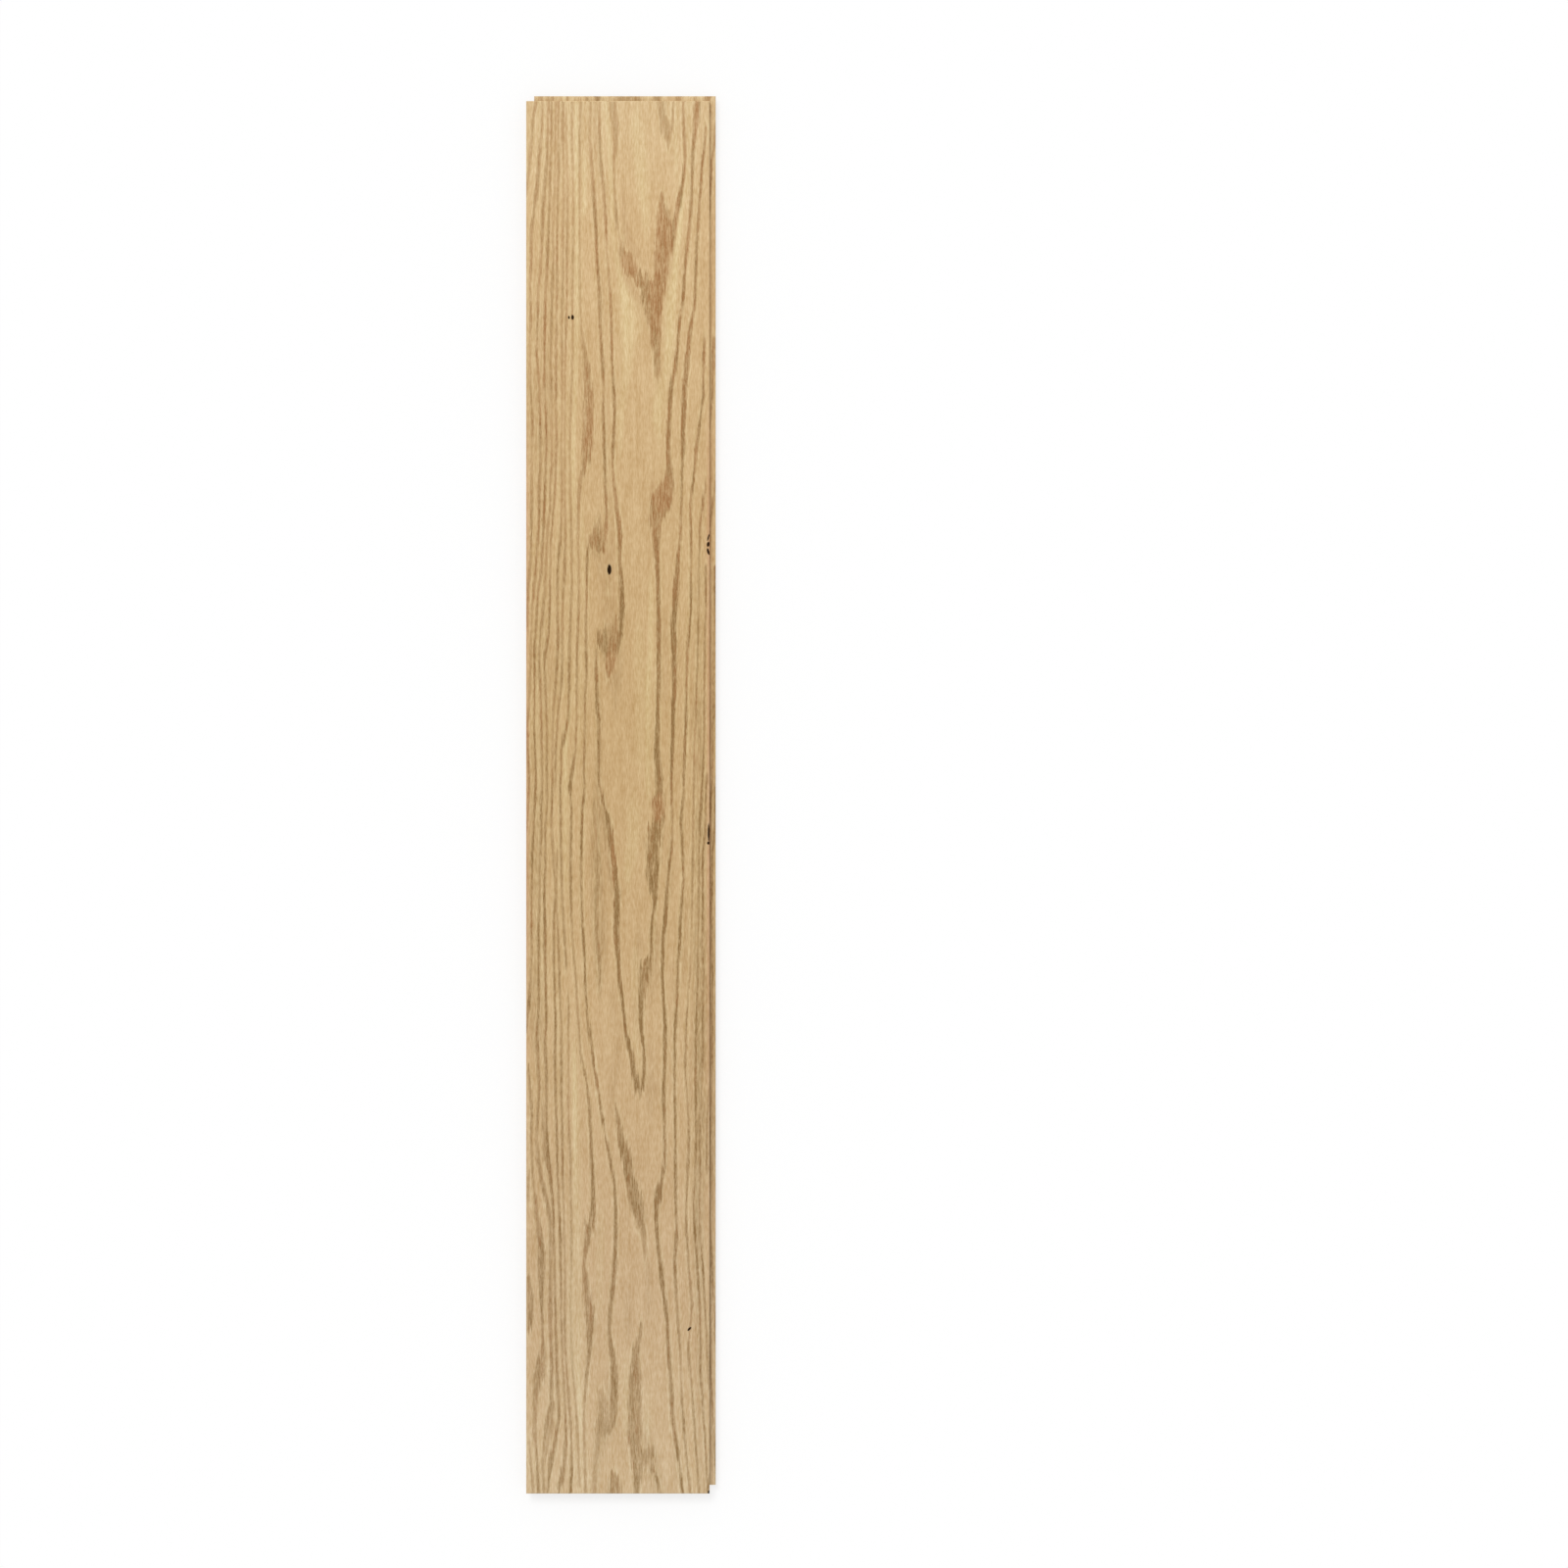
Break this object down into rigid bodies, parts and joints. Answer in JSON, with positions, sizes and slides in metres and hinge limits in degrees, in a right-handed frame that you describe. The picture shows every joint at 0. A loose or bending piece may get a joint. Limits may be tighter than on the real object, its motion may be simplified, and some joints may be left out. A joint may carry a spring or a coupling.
{
  "type": "wide plank floorboard",
  "caption": "Solid oak floorboard with a plain bevelled face, a tongue along one side and end, a groove along the other side and end, and a relieved back.",
  "frame": {"origin": "middle of the back, on the plane the board rests on and under the middle of its face", "axes": "+Y along the board's length towards the end tongue, +X across it towards the side tongue, +Z out of the face"},
  "size_m": [0.1969, 1.4542, 0.0191],
  "materials": {
    "oak": "matt clear-finished oak, plain-sawn"
  },
  "bodies": {
    "root": {"floorboard": "oak"}
  },
  "joints": []
}
